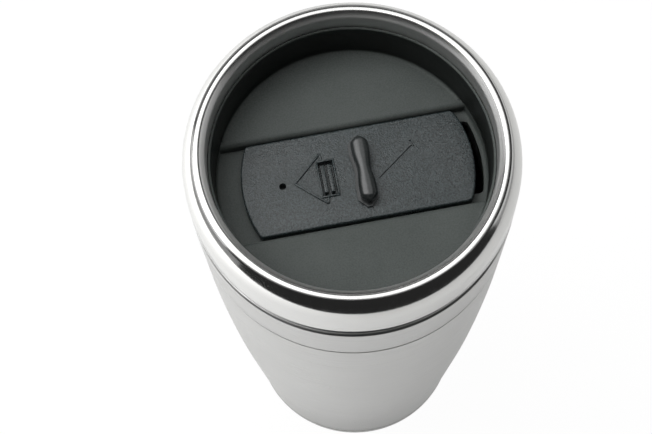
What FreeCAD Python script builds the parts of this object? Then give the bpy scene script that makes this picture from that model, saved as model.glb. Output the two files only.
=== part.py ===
import FreeCAD, Part
import math
import os
import Sketcher

# Insulated travel mug: steel shell and liner, press-in lid, sliding drink closure.
# Axis of the mug is Z, the base rests on z = 0, the closure slides along X.

os.makedirs("parts", exist_ok=True)
doc = FreeCAD.newDocument("travel_mug")

# name, millimetres
driving = [
    ("overall_height", 174.0),
    ("collar_radius", 42.1),
    ("collar_depth", 15.9),
    ("shoulder_curve", 9.0),
    ("lip_curve", 2.0),
    ("lip_inner_curve", 1.45),
    ("collar_sheet", 0.8),
    ("neck_inset", 6.3),
    ("neck_drop", 6.0),
    ("weld_drop", 14.0),
    ("seam_opening", 4.0),
    ("seam_inset", 0.65),
    ("shell_wall", 0.6),
    ("shell_edge", 0.5),
    ("bend_height", 84.6),
    ("bend_inset", 1.9),
    ("bend_reach", 22.0),
    ("base_inset", 9.4),
    ("shell_foot", 4.3),
    ("groove_drop", 17.0),
    ("groove_depth", 0.35),
    ("groove_width", 0.8),
    ("liner_wall", 0.6),
    ("jacket_gap", 6.0),
    ("liner_floor", 12.0),
    ("floor_curve", 8.0),
    ("ledge_drop", 28.0),
    ("ledge_width", 1.4),
    ("packing_gap", 0.2),
    ("cap_sheet", 1.0),
    ("cap_curve", 1.6),
    ("pad_thickness", 2.0),
    ("pad_proud", 0.7),
    ("lid_gap", 0.4),
    ("lid_rim_wall", 0.65),
    ("lid_foot_wall", 0.7),
    ("lid_top_drop", 5.7),
    ("plate_drop", 17.4),
    ("channel_depth", 3.2),
    ("lid_floor", 2.0),
    ("skirt_wall", 1.7),
    ("gasket_height", 3.4),
    ("gasket_depth", 1.0),
    ("gasket_fin", 0.4),
    ("slider_width", 25.2),
    ("side_gap", 0.5),
    ("slider_curve", 30.0),
    ("slider_right_gap", 3.3),
    ("slider_left_gap", 6.4),
    ("slider_corner", 2.8),
    ("slider_flush", 0.1),
    ("slider_lift", 0.3),
    ("slot_outer_gap", 1.1),
    ("slot_width", 5.2),
    ("slot_half_span", 10.2),
    ("vent_width", 1.8),
    ("vent_place", 17.9),
    ("travel_open", 5.2),
    ("travel_close", 2.3),
    ("tab_place", 2.8),
    ("tab_length", 19.4),
    ("tab_end_width", 4.8),
    ("tab_waist", 0.8),
    ("tab_rise", 4.2),
    ("stem_length", 8.0),
    ("stem_width", 2.4),
    ("stem_gap", 0.2),
    ("retainer_length", 12.0),
    ("retainer_width", 8.0),
    ("retainer_sheet", 1.25),
    ("seal_depth", 1.2),
    ("seal_gap", 0.08),
    ("mark_rise", 0.3),
]

sheet = doc.addObject("Spreadsheet::Sheet", "sizes")
values = {}
for row, (name, number) in enumerate(driving, start=1):
    sheet.set("A%d" % row, name)
    sheet.set("B%d" % row, str(number))
    sheet.setAlias("B%d" % row, name)
    values[name] = number
doc.recompute()


class Size:
    """A length that carries its number and the sheet formula behind it."""

    def __init__(self, value, text):
        self.value = value
        self.text = text

    @staticmethod
    def of(other):
        if isinstance(other, Size):
            return other
        return Size(float(other), "(%s)" % repr(float(other)))

    def __add__(self, other):
        other = Size.of(other)
        return Size(self.value + other.value, "(%s + %s)" % (self.text, other.text))

    def __radd__(self, other):
        return Size.of(other) + self

    def __sub__(self, other):
        other = Size.of(other)
        return Size(self.value - other.value, "(%s - %s)" % (self.text, other.text))

    def __rsub__(self, other):
        return Size.of(other) - self

    def __mul__(self, other):
        other = Size.of(other)
        return Size(self.value * other.value, "(%s * %s)" % (self.text, other.text))

    def __rmul__(self, other):
        return Size.of(other) * self

    def __truediv__(self, other):
        other = Size.of(other)
        return Size(self.value / other.value, "(%s / %s)" % (self.text, other.text))

    def __neg__(self):
        return Size(-self.value, "(0 - %s)" % self.text)

    def root(self):
        return Size(math.sqrt(self.value), "sqrt(%s)" % self.text)


def s(name):
    return Size(values[name], "sizes." + name)


# ---- shared positions -------------------------------------------------------
top = s("overall_height")
rim = s("collar_radius")
collar_foot = top - s("collar_depth")
neck = rim - s("neck_inset")
neck_outer = neck + s("liner_wall")
weld = top - s("weld_drop")
shell_top = collar_foot - s("seam_opening")
bend = s("bend_height")
bend_radius = rim - s("bend_inset")
base_radius = rim - s("base_inset")
reach = s("bend_reach")
slope_top = (rim - bend_radius) / (shell_top - s("shell_edge") - bend)
slope_low = (bend_radius - base_radius) / (bend - s("shell_foot"))
bend_curve = 2 * reach / (slope_low - slope_top)
ledge = top - s("ledge_drop")
lid_radius = neck - s("lid_gap")
lid_inner = lid_radius - s("lid_foot_wall")
lid_top = top - s("lid_top_drop")
plate_top = top - s("plate_drop")
channel = plate_top - s("channel_depth")
floor_under = channel - s("lid_floor")
slider_top = plate_top - s("slider_flush")
slider_under = channel + s("slider_lift")
slider_right = lid_inner - s("slider_right_gap")
slider_left = s("slider_left_gap") - lid_inner
slider_half = s("slider_width") / 2
stem_foot = floor_under - s("retainer_sheet") - 0.95


def upper_radius(z):
    return bend_radius + slope_top * (z - bend)


def lower_radius(z):
    return bend_radius - slope_low * (bend - z)


# ---- drawing helpers --------------------------------------------------------
def new_body(label):
    body = doc.addObject("PartDesign::Body", label)
    body.Label = label
    return body


def plane_of(body, role):
    for feature in body.Origin.OriginFeatures:
        if feature.Role == role:
            return feature
    raise RuntimeError("no plane " + role)


def flat(value):
    return Size.of(value)


def draw(body, name, loops, role="XY_Plane", height=None):
    """Closed loops of (x, y) corners; a third and fourth entry make the next side an arc."""
    sketch = body.newObject("Sketcher::SketchObject", name)
    sketch.AttachmentSupport = [(plane_of(body, role), "")]
    sketch.MapMode = "FlatFace"
    if height is not None:
        level = flat(height)
        sketch.AttachmentOffset = FreeCAD.Placement(
            FreeCAD.Vector(0, 0, level.value), FreeCAD.Rotation())
        sketch.setExpression("AttachmentOffset.Base.z", level.text)
    rules = []
    texts = []
    for loop in loops:
        if isinstance(loop, dict):
            add_circle(sketch, loop, rules, texts)
        else:
            add_loop(sketch, loop, rules, texts)
    sketch.addConstraint(rules)
    for index, text in enumerate(texts):
        if text is not None:
            sketch.setExpression("Constraints[%d]" % index, text)
    doc.recompute()
    return sketch


def add_circle(sketch, loop, rules, texts):
    x, y, radius = flat(loop["x"]), flat(loop["y"]), flat(loop["radius"])
    circle = Part.Circle(FreeCAD.Vector(x.value, y.value, 0), FreeCAD.Vector(0, 0, 1), radius.value)
    geo = sketch.addGeometry(circle, False)
    rules.append(Sketcher.Constraint("DistanceX", geo, 3, x.value))
    texts.append(x.text)
    rules.append(Sketcher.Constraint("DistanceY", geo, 3, y.value))
    texts.append(y.text)
    rules.append(Sketcher.Constraint("Radius", geo, radius.value))
    texts.append(radius.text)


def arc_between(start, end, radius, side):
    """Arc from start to end with its centre on the left (side 1) or right (side -1)."""
    chord = end - start
    half = chord.Length / 2.0
    across = FreeCAD.Vector(-chord.y, chord.x, 0)
    across.normalize()
    lift = math.sqrt(max(radius * radius - half * half, 0.0))
    centre = start + chord * 0.5 + across * (lift * side)
    first = math.atan2(start.y - centre.y, start.x - centre.x)
    last = math.atan2(end.y - centre.y, end.x - centre.x)
    circle = Part.Circle(centre, FreeCAD.Vector(0, 0, 1), radius)
    if side > 0:
        return Part.ArcOfCircle(circle, first, last), 1, 2
    return Part.ArcOfCircle(circle, last, first), 2, 1


def add_loop(sketch, loop, rules, texts):
    corners = [(flat(c[0]), flat(c[1])) for c in loop]
    points = [FreeCAD.Vector(x.value, y.value, 0) for x, y in corners]
    ends = []
    for index, corner in enumerate(loop):
        start = points[index]
        end = points[(index + 1) % len(points)]
        if len(corner) == 4:
            radius = flat(corner[2])
            arc, first, last = arc_between(start, end, radius.value, corner[3])
            geo = sketch.addGeometry(arc, False)
            rules.append(Sketcher.Constraint("Radius", geo, radius.value))
            texts.append(radius.text)
        else:
            geo = sketch.addGeometry(Part.LineSegment(start, end), False)
            first, last = 1, 2
        ends.append((geo, first, last))
    for index, (geo, first, last) in enumerate(ends):
        before = ends[index - 1]
        rules.append(Sketcher.Constraint("Coincident", before[0], before[2], geo, first))
        texts.append(None)
        x, y = corners[index]
        rules.append(Sketcher.Constraint("DistanceX", geo, first, x.value))
        texts.append(x.text)
        rules.append(Sketcher.Constraint("DistanceY", geo, first, y.value))
        texts.append(y.text)


def spin(body, name, loops):
    sketch = draw(body, name + "_outline", loops, "XZ_Plane")
    turned = body.newObject("PartDesign::Revolution", name)
    turned.Profile = sketch
    turned.ReferenceAxis = (sketch, ["V_Axis"])
    turned.Angle = 360.0
    sketch.Visibility = False
    doc.recompute()
    return turned


def raise_up(body, name, loops, height, length):
    sketch = draw(body, name + "_outline", loops, "XY_Plane", height)
    pad = body.newObject("PartDesign::Pad", name)
    pad.Profile = sketch
    pad.Length = flat(length).value
    pad.setExpression("Length", flat(length).text)
    sketch.Visibility = False
    doc.recompute()
    return pad


def cut(body, name, loops, height, length, upward=False):
    before = body.Shape.Volume
    sketch = draw(body, name + "_outline", loops, "XY_Plane", height)
    pocket = body.newObject("PartDesign::Pocket", name)
    pocket.Profile = sketch
    pocket.Length = flat(length).value
    pocket.setExpression("Length", flat(length).text)
    pocket.Reversed = upward
    sketch.Visibility = False
    doc.recompute()
    if body.Shape.Volume > before - 0.05:
        raise RuntimeError(name + " cut nothing")
    return pocket


def round_edges(body, name, radius, chosen):
    """Round the edges for which chosen(edge) is true."""
    tip = body.Tip
    names = []
    for index, edge in enumerate(tip.Shape.Edges, start=1):
        if chosen(edge):
            names.append("Edge%d" % index)
    if not names:
        raise RuntimeError(name + " found no edges")
    fillet = body.newObject("PartDesign::Fillet", name)
    fillet.Base = (tip, names)
    fillet.Radius = flat(radius).value
    fillet.setExpression("Radius", flat(radius).text)
    doc.recompute()
    return fillet


def edge_at(edge, level, slack=0.01):
    box = edge.BoundBox
    return abs(box.ZMin - level) < slack and abs(box.ZMax - level) < slack


def rectangle(x0, x1, y0, y1):
    return [(x0, y0), (x1, y0), (x1, y1), (x0, y1)]


# ---- mug pieces -------------------------------------------------------------
def make_outer_shell():
    body = new_body("outer_shell")
    wall = s("shell_wall")
    edge = s("shell_edge")
    groove = shell_top - s("groove_drop")
    half = s("groove_width") / 2
    depth = s("groove_depth")
    high = groove + half
    low = groove - half
    bend_hi = bend + reach
    bend_lo = bend - reach
    foot = s("shell_foot")
    spin(body, "shell_turned", [[
        (rim, shell_top - edge, edge, 1),
        (rim - edge, shell_top),
        (rim - wall, shell_top),
        (upper_radius(bend_hi) - wall, bend_hi, bend_curve - wall, -1),
        (lower_radius(bend_lo) - wall, bend_lo),
        (base_radius - wall, foot),
        (base_radius, foot),
        (lower_radius(bend_lo), bend_lo, bend_curve, 1),
        (upper_radius(bend_hi), bend_hi),
        (upper_radius(low), low),
        (upper_radius(groove) - depth, groove),
        (upper_radius(high), high),
    ]])
    return body


def make_rim_collar():
    body = new_body("rim_collar")
    sheet_t = s("collar_sheet")
    shoulder = s("shoulder_curve")
    lip = s("lip_curve")
    inner = s("lip_inner_curve")
    diag = math.sqrt(0.5)
    spring = top - (shoulder - lip) * diag - lip
    turn_r = rim - shoulder + shoulder * diag
    turn_z = spring + shoulder * diag
    crown_r = turn_r - lip * diag
    inside = shoulder - sheet_t
    spin(body, "collar_turned", [[
        (rim, collar_foot),
        (rim, spring, shoulder, 1),
        (turn_r, turn_z, lip, 1),
        (crown_r, top, inner, 1),
        (crown_r - inner, top - inner),
        (neck, top - s("neck_drop")),
        (neck, weld),
        (neck_outer, weld),
        (neck_outer, top - s("neck_drop")),
        (crown_r - inner + sheet_t, top - inner - 0.1),
        (crown_r, top - sheet_t),
        (rim - shoulder + inside * diag, spring + inside * diag, inside, -1),
        (rim - sheet_t, spring),
        (rim - sheet_t, collar_foot),
    ]])
    return body


def liner_outline(offset):
    """Corners of the liner face from the neck down to the middle of the floor."""
    gap = s("shell_wall") + s("jacket_gap") + s("liner_wall")
    bend_hi = bend + reach
    bend_lo = bend - reach
    shift = gap - offset
    floor = s("liner_floor") - offset
    curve = s("floor_curve") + offset
    side_r = lower_radius(floor + curve) - shift
    return bend_hi, bend_lo, shift, floor, curve, side_r


def make_inner_liner():
    body = new_body("inner_liner")
    wall = s("liner_wall")
    below = neck - s("ledge_width")
    hi, lo, in_shift, in_floor, in_curve, in_side = liner_outline(flat(0.0))
    hi, lo, out_shift, out_floor, out_curve, out_side = liner_outline(wall)
    spin(body, "liner_turned", [[
        (flat(0.0), in_floor),
        (flat(0.0), out_floor),
        (out_side - out_curve, out_floor, out_curve, 1),
        (out_side, out_floor + out_curve),
        (lower_radius(lo) - out_shift, lo, bend_curve, 1),
        (upper_radius(hi) - out_shift, hi),
        (below + wall, ledge - 8.0),
        (below + wall, ledge - wall),
        (neck_outer, ledge - wall),
        (neck_outer, weld),
        (neck, weld),
        (neck, ledge),
        (below, ledge),
        (below, ledge - 8.0),
        (upper_radius(hi) - in_shift, hi, bend_curve, -1),
        (lower_radius(lo) - in_shift, lo),
        (in_side, in_floor + in_curve, in_curve, -1),
        (in_side - in_curve, in_floor),
    ]])
    return body


def make_seam_ring():
    body = new_body("seam_ring")
    face = rim - s("seam_inset")
    inside = neck_outer + s("packing_gap")
    tuck = rim - s("collar_sheet") - s("packing_gap")
    plug = rim - s("shell_wall") - s("packing_gap")
    spin(body, "ring_turned", [[
        (inside, shell_top - 2.0),
        (plug, shell_top - 2.0),
        (plug, shell_top),
        (face, shell_top),
        (face, collar_foot - 0.02),
        (tuck, collar_foot - 0.02),
        (tuck, collar_foot + 3.0),
        (inside, collar_foot + 3.0),
    ]])
    return body


def make_insulation():
    body = new_body("insulation_sleeve")
    gap = s("packing_gap")
    wall = s("liner_wall")
    below = neck - s("ledge_width") + wall + gap
    hi, lo, shift, floor, curve, side = liner_outline(wall + gap)
    out = s("shell_wall") + gap
    head = shell_top - 2.0 - gap
    foot = s("shell_foot") + 4.0 + gap
    spin(body, "sleeve_turned", [[
        (flat(0.0), floor),
        (flat(0.0), foot),
        (lower_radius(foot) - out - 1.0, foot),
        (lower_radius(foot + 1.0) - out, foot + 1.0),
        (lower_radius(lo) - out, lo, bend_curve, 1),
        (upper_radius(hi) - out, hi),
        (upper_radius(head) - out, head),
        (neck_outer + gap, head),
        (neck_outer + gap, ledge - wall - gap),
        (below, ledge - wall - gap),
        (below, ledge - 8.0),
        (upper_radius(hi) - shift, hi, bend_curve, -1),
        (lower_radius(lo) - shift, lo),
        (side, floor + curve, curve, -1),
        (side - curve, floor),
    ]])
    return body


def make_base_cap():
    body = new_body("base_cap")
    gap = s("packing_gap")
    wall = s("shell_wall")
    curve = s("cap_curve")
    cap = s("cap_sheet")
    proud = s("pad_proud")
    foot = s("shell_foot")
    edge = base_radius + 0.05
    seat = foot - 0.3
    plug = base_radius - wall - gap
    under = proud + s("pad_thickness") - 0.6
    spin(body, "cap_turned", [[
        (flat(0.0), under),
        (edge - 3.0, under),
        (edge - 3.0, proud),
        (edge - curve, proud, curve, 1),
        (edge, proud + curve),
        (edge, seat - 0.4),
        (edge - 0.4, seat),
        (plug, seat),
        (plug, foot + 4.0),
        (plug - cap, foot + 4.0),
        (plug - cap, under + cap),
        (flat(0.0), under + cap),
    ]])
    return body


def make_base_pad():
    body = new_body("base_pad")
    proud = s("pad_proud")
    radius = base_radius + 0.05 - 3.0 - s("packing_gap")
    under = proud + s("pad_thickness") - 0.6
    spin(body, "pad_turned", [[
        (flat(0.0), flat(0.0)),
        (radius - 0.5, flat(0.0)),
        (radius, flat(0.5)),
        (radius, under - 0.02),
        (flat(0.0), under - 0.02),
    ]])
    return body


# ---- lid pieces -------------------------------------------------------------
def make_lid_body():
    body = new_body("lid_body")
    outer = lid_radius
    skirt = outer - s("skirt_wall")
    foot = ledge + 0.02
    groove_hi = floor_under + 0.2
    groove_lo = groove_hi - s("gasket_height")
    groove_r = outer - s("gasket_depth")
    thin = s("lid_rim_wall")
    spin(body, "lid_turned", [[
        (flat(0.0), floor_under),
        (skirt, floor_under),
        (skirt, foot),
        (outer - 0.4, foot),
        (outer, foot + 0.4),
        (outer, groove_lo),
        (groove_r, groove_lo),
        (groove_r, groove_hi),
        (outer, groove_hi),
        (outer, lid_top - thin / 2, thin / 2, 1),
        (outer - thin, lid_top - thin / 2),
        (lid_inner, plate_top),
        (flat(0.0), plate_top),
    ]])
    half = slider_half + s("side_gap")
    end_x = (lid_inner * lid_inner - half * half).root()
    cut(body, "channel_cut", [[
        (-end_x, -half),
        (end_x, -half, lid_inner, 1),
        (end_x, half),
        (-end_x, half, lid_inner, 1),
    ]], plate_top, s("channel_depth"))
    bay_half = half + 1.6
    bay_r = skirt - 0.4
    bay_x = (bay_r * bay_r - bay_half * bay_half).root()
    bay_depth = s("channel_depth")
    cut(body, "far_bay_cut", [[
        (bay_x, bay_half, bay_r, 1),
        (-bay_x, bay_half),
    ]], floor_under, bay_depth, True)
    cut(body, "near_bay_cut", [[
        (-bay_x, -bay_half, bay_r, 1),
        (bay_x, -bay_half),
    ]], floor_under, bay_depth, True)
    slot_out = lid_inner - s("slot_outer_gap")
    slot_in = slot_out - s("slot_width")
    span = s("slot_half_span")
    out_x = (slot_out * slot_out - span * span).root()
    in_span = span - 0.9
    in_x = (slot_in * slot_in - in_span * in_span).root()
    cut(body, "drink_slot_cut", [[
        (in_x, -in_span),
        (out_x - 1.2, -span),
        (out_x, -span + 0.9, slot_out, 1),
        (out_x, span - 0.9),
        (out_x - 1.2, span),
        (in_x, in_span, slot_in, -1),
    ]], channel, s("lid_floor"))
    cut(body, "vent_cut", [{
        "x": -s("vent_place") - s("travel_open"), "y": 0.0, "radius": s("vent_width") / 2,
    }], channel, s("lid_floor"))
    guide_y = s("stem_length") / 2 + s("stem_gap") + 0.1
    stem_half = s("stem_width") / 2 + s("stem_gap") + 0.1
    cut(body, "guide_cut", [rectangle(
        s("tab_place") - stem_half - s("travel_open"),
        s("tab_place") + stem_half + s("travel_close"),
        -guide_y, guide_y,
    )], channel, s("lid_floor"))
    return body


def make_lid_gasket():
    body = new_body("lid_gasket")
    outer = lid_radius
    high = floor_under + 0.2 - 0.1
    low = high - s("gasket_height") + 0.2
    inner = outer - s("gasket_depth") + 0.02
    skin = outer - 0.15
    fin = outer + s("gasket_fin") - 0.12
    step = (high - low) / 5
    spin(body, "gasket_turned", [[
        (inner, low),
        (skin, low),
        (skin, low + step * 0.6),
        (fin, low + step * 1.2),
        (fin, low + step * 1.6),
        (skin, low + step * 2),
        (skin, low + step * 3),
        (fin, low + step * 3.6),
        (fin, low + step * 4),
        (skin, low + step * 4.4),
        (skin, high),
        (inner, high),
    ]])
    return body


# ---- closure pieces ---------------------------------------------------------
def end_point(tip, sign, half):
    """X of a plate corner: the end is an arc of slider_curve through the tip."""
    curve = s("slider_curve")
    drop = curve - (curve * curve - half * half).root()
    return tip - drop * sign


def tab_loop(grow):
    """Bone-shaped outline of the thumb tab, widened by grow all round."""
    grow = flat(grow)
    end_r = s("tab_end_width") / 2 + grow
    reach_y = (s("tab_length") - s("tab_end_width")) / 2
    sag = s("tab_waist")
    side = (reach_y * reach_y + sag * sag) / (2 * sag)
    x = s("tab_place")
    return [
        (x + end_r, -reach_y, side, -1),
        (x + end_r, reach_y, end_r * 1.0002, 1),
        (x - end_r, reach_y, side, -1),
        (x - end_r, -reach_y, end_r * 1.0002, 1),
    ]


def make_slider_plate():
    body = new_body("slider_plate")
    half = slider_half
    curve = s("slider_curve")
    corner = s("slider_corner")
    right_x = end_point(slider_right, 1, half)
    left_x = end_point(slider_left, -1, half)
    right_c = end_point(slider_right, 1, half - corner / 2)
    left_c = end_point(slider_left, -1, half - 0.6)
    thick = slider_top - slider_under
    raise_up(body, "plate_pad", [[
        (left_x + 0.6, -half),
        (right_x - corner * 0.4, -half),
        (right_c, -half + corner / 2, curve, 1),
        (right_c, half - corner / 2),
        (right_x - corner * 0.4, half),
        (left_x + 0.6, half),
        (left_c, half - 0.6, curve, 1),
        (left_c, -half + 0.6),
    ]], slider_under, thick)
    level = slider_top.value
    round_edges(body, "plate_soft_edge", 0.35, lambda e: edge_at(e, level))
    rise = s("mark_rise")
    raise_up(body, "arrow_pad", [[
        (-15.2, 0.0),
        (-7.2, -7.1),
        (-6.8, -6.4),
        (-14.1, 0.0),
        (-6.8, 6.4),
        (-7.2, 7.1),
    ]], slider_top - 0.1, rise + 0.1)
    raise_up(body, "frame_pad", [
        rectangle(-8.2, -4.3, -4.5, 4.5),
        rectangle(-7.7, -6.5, -4.0, 4.0),
        rectangle(-6.0, -4.8, -4.0, 4.0),
    ], slider_top - 0.1, rise + 0.1)
    raise_up(body, "tab_kerb", [tab_loop(0.9), tab_loop(0.2)], slider_top - 0.1, 0.6)
    cut(body, "vent_bore", [{
        "x": -s("vent_place"), "y": 0.0, "radius": s("vent_width") / 2,
    }], slider_top + 1.0, thick + 1.0)
    hole_x = s("stem_width") / 2 + s("stem_gap")
    hole_y = s("stem_length") / 2 + s("stem_gap")
    cut(body, "stem_hole", [rectangle(
        s("tab_place") - hole_x, s("tab_place") + hole_x, -hole_y, hole_y,
    )], slider_top + 1.0, thick + 1.0)
    depth = s("seal_depth")
    cut(body, "slot_seal_pocket", [slot_seal_loop(s("packing_gap"))], slider_under, depth, True)
    cut(body, "vent_seal_pocket", [vent_seal_loop(s("packing_gap"))], slider_under, depth, True)
    return body


def slot_seal_loop(grow):
    """Outline of the silicone pad that closes the drink slot."""
    grow = flat(grow)
    edge = s("slider_curve") - 0.9 + grow
    half = s("slot_half_span") + 0.8 + grow
    centre = slider_right - s("slider_curve")
    x = centre + (edge * edge - half * half).root()
    inner = slider_right - s("slot_width") - 1.4 - grow
    inner_x = inner - 2.0
    return [
        (inner_x, -half),
        (x, -half, edge, 1),
        (x, half),
        (inner_x, half),
    ]


def vent_seal_loop(grow):
    """Outline of the silicone pad that closes the vent."""
    grow = flat(grow)
    return rectangle(
        -s("vent_place") - s("travel_open") - s("travel_close") - 1.6 - grow,
        -s("vent_place") + 2.2 + grow,
        -2.6 - grow,
        2.6 + grow,
    )


def make_slot_seal():
    body = new_body("slot_seal")
    low = channel + s("seal_gap")
    high = slider_under + s("seal_depth") - 0.02
    raise_up(body, "slot_seal_pad", [slot_seal_loop(0.0)], low, high - low)
    return body


def make_vent_seal():
    body = new_body("vent_seal")
    low = channel + s("seal_gap")
    high = slider_under + s("seal_depth") - 0.02
    hole = {"x": -s("vent_place"), "y": 0.0, "radius": s("vent_width") / 2}
    raise_up(body, "vent_seal_pad", [vent_seal_loop(0.0), hole], low, high - low)
    return body


def make_thumb_tab():
    body = new_body("thumb_tab")
    x = s("tab_place")
    half_y = s("stem_length") / 2
    half_x = s("stem_width") / 2
    raise_up(body, "tab_pad", [tab_loop(0.0)], slider_top + 0.02, s("tab_rise"))
    level = (slider_top + 0.02 + s("tab_rise")).value
    round_edges(body, "tab_soft_edge", 1.2, lambda e: edge_at(e, level))
    raise_up(body, "stem_pad", [rectangle(x - half_x, x + half_x, -half_y, half_y)],
             stem_foot, slider_top + 0.5 - stem_foot)
    raise_up(body, "barb_pad", [rectangle(x - half_x - 0.7, x + half_x + 0.7, -half_y, half_y)],
             stem_foot, 0.7)
    return body


def make_retainer():
    body = new_body("slider_retainer")
    x = s("tab_place")
    high = floor_under - 0.2
    thick = s("retainer_sheet")
    half_x = s("retainer_width") / 2
    half_y = s("retainer_length") / 2
    hole_x = s("stem_width") / 2 + 0.1
    hole_y = s("stem_length") / 2 + 0.1
    raise_up(body, "retainer_pad", [
        rectangle(x - half_x, x + half_x, -half_y, half_y),
        rectangle(x - hole_x, x + hole_x, -hole_y, hole_y),
    ], high - thick, thick)
    return body


makers = [
    make_outer_shell,
    make_rim_collar,
    make_inner_liner,
    make_seam_ring,
    make_insulation,
    make_base_cap,
    make_base_pad,
    make_lid_body,
    make_lid_gasket,
    make_slider_plate,
    make_thumb_tab,
    make_slot_seal,
    make_vent_seal,
    make_retainer,
]
made = [make() for make in makers]
doc.recompute()

for item in doc.Objects:
    if "Invalid" in item.State or "Error" in item.State:
        raise RuntimeError("%s is %s" % (item.Label, item.State))
for body in made:
    shape = body.Shape
    if shape.isNull() or not shape.isValid():
        raise RuntimeError(body.Label + " has no valid shape")
    print(body.Label, round(shape.Volume, 1), [round(v, 2) for v in (
        shape.BoundBox.XMin, shape.BoundBox.XMax, shape.BoundBox.YMin, shape.BoundBox.YMax,
        shape.BoundBox.ZMin, shape.BoundBox.ZMax)], len(shape.Solids))
for body in made:
    body.Shape.exportStep("parts/%s.step" % body.Label)
print("pieces", len(made))
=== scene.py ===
import math
import bmesh
import bpy
from mathutils import Matrix, Vector


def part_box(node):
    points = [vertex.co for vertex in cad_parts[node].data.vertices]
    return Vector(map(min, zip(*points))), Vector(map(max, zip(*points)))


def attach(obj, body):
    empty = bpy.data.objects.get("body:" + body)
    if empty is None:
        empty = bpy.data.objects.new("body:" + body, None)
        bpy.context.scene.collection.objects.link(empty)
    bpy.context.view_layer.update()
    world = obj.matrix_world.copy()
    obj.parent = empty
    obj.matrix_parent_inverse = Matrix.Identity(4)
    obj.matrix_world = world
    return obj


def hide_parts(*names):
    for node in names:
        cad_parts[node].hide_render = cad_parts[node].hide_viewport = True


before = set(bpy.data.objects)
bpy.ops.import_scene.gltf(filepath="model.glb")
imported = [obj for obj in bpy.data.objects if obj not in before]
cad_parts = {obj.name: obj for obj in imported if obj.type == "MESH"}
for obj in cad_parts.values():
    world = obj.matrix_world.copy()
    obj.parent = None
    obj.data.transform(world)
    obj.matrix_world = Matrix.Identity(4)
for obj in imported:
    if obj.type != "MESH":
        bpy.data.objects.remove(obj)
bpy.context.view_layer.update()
mm = 0.001
passBy = 1.0  # how far a cutting shape goes past the surface that it cuts
print("frame loaded")


# small tools

def boxOf(node):
    low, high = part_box(node)
    return Vector(low) / mm, Vector(high) / mm


def finished(name, bm, material, body, node=None, sharp=32):
    mesh = bpy.data.meshes.new(name)
    bm.to_mesh(mesh)
    bm.free()
    return placed(name, mesh, material, body, node, sharp)


def placed(name, mesh, material, body, node=None, sharp=32):
    mesh.shade_smooth()
    mesh.set_sharp_from_angle(angle=math.radians(sharp))
    piece = bpy.data.objects.new(name, mesh)
    bpy.context.scene.collection.objects.link(piece)
    mesh.materials.clear()
    mesh.materials.append(material)
    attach(piece, body)
    if node:
        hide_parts(node)
    print("made", name, len(mesh.polygons), "faces")
    return piece


# corners are (radius, height) or (radius, height, rounding), in mm
def outlineWire(corners, closed=True, steps=5):
    bm = bmesh.new()
    verts = [bm.verts.new((c[0] * mm, 0, c[1] * mm)) for c in corners]
    for a, b in zip(verts, verts[1:]):
        bm.edges.new((a, b))
    if closed:
        bm.edges.new((verts[-1], verts[0]))
    roundVerts(bm, verts, corners, steps)
    return bm


def roundVerts(bm, verts, corners, steps):
    for vert, corner in zip(verts, corners):
        if len(corner) > 2 and corner[2]:
            count = corner[3] if len(corner) > 3 else steps
            bmesh.ops.bevel(bm, geom=[vert], offset=corner[2] * mm, offset_type="OFFSET",
                            affect="VERTICES", segments=count, profile=0.5, material=-1,
                            clamp_overlap=False)


def turned(corners, closed=True, around=224, steps=5):
    bm = outlineWire(corners, closed, steps)
    bmesh.ops.spin(bm, geom=bm.verts[:] + bm.edges[:], cent=(0, 0, 0), axis=(0, 0, 1),
                   angle=2 * math.pi, steps=around, use_merge=True)
    bmesh.ops.remove_doubles(bm, verts=bm.verts, dist=1e-7)
    bmesh.ops.recalc_face_normals(bm, faces=bm.faces)
    return bm


# flat outline of (x, y) or (x, y, rounding) corners in mm, raised from low to high
def slab(corners, low, high, steps=6):
    bm = bmesh.new()
    verts = [bm.verts.new((c[0] * mm, c[1] * mm, low * mm)) for c in corners]
    for a, b in zip(verts, verts[1:] + verts[:1]):
        bm.edges.new((a, b))
    roundVerts(bm, verts, corners, steps)
    face = bmesh.ops.contextual_create(bm, geom=bm.edges[:])["faces"]
    grown = bmesh.ops.extrude_face_region(bm, geom=face)["geom"]
    lifted = [g for g in grown if isinstance(g, bmesh.types.BMVert)]
    bmesh.ops.translate(bm, verts=lifted, vec=(0, 0, (high - low) * mm))
    bmesh.ops.recalc_face_normals(bm, faces=bm.faces)
    return bm


# corners of an upright rectangle, in the order that slab takes
def rectangle(low, high, rounding=0):
    return [(low[0], low[1], rounding), (high[0], low[1], rounding),
            (high[0], high[1], rounding), (low[0], high[1], rounding)]


# round bar along z, in mm, to cut or trim with
def peg(radius, x, z, length, around):
    bm = bmesh.new()
    bmesh.ops.create_cone(bm, cap_ends=True, segments=around, radius1=radius * mm,
                          radius2=radius * mm, depth=length * mm,
                          matrix=Matrix.Translation((x * mm, 0, z * mm)))
    return meshOf(bm)


def topEdges(bm, level):
    return [e for e in bm.edges if all(abs(v.co.z - level * mm) < 1e-6 for v in e.verts)
            and len(e.link_faces) == 2
            and min(f.normal.z for f in e.link_faces) < 0.9]


def soften(bm, edges, width, steps=3):
    bmesh.ops.bevel(bm, geom=edges, offset=width * mm, offset_type="OFFSET", affect="EDGES",
                    segments=steps, profile=0.5, material=-1, clamp_overlap=True)


def meshOf(bm, name="work"):
    mesh = bpy.data.meshes.new(name)
    bm.to_mesh(mesh)
    bm.free()
    return mesh


def combined(first, second, operation):
    base = bpy.data.objects.new("base", first)
    tool = bpy.data.objects.new("tool", second)
    for item in (base, tool):
        bpy.context.scene.collection.objects.link(item)
    step = base.modifiers.new("cut", "BOOLEAN")
    step.object = tool
    step.operation = operation
    step.solver = "EXACT"
    graph = bpy.context.evaluated_depsgraph_get()
    result = bpy.data.meshes.new_from_object(base.evaluated_get(graph))
    for item in (base, tool):
        bpy.data.objects.remove(item)
    return result


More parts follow.
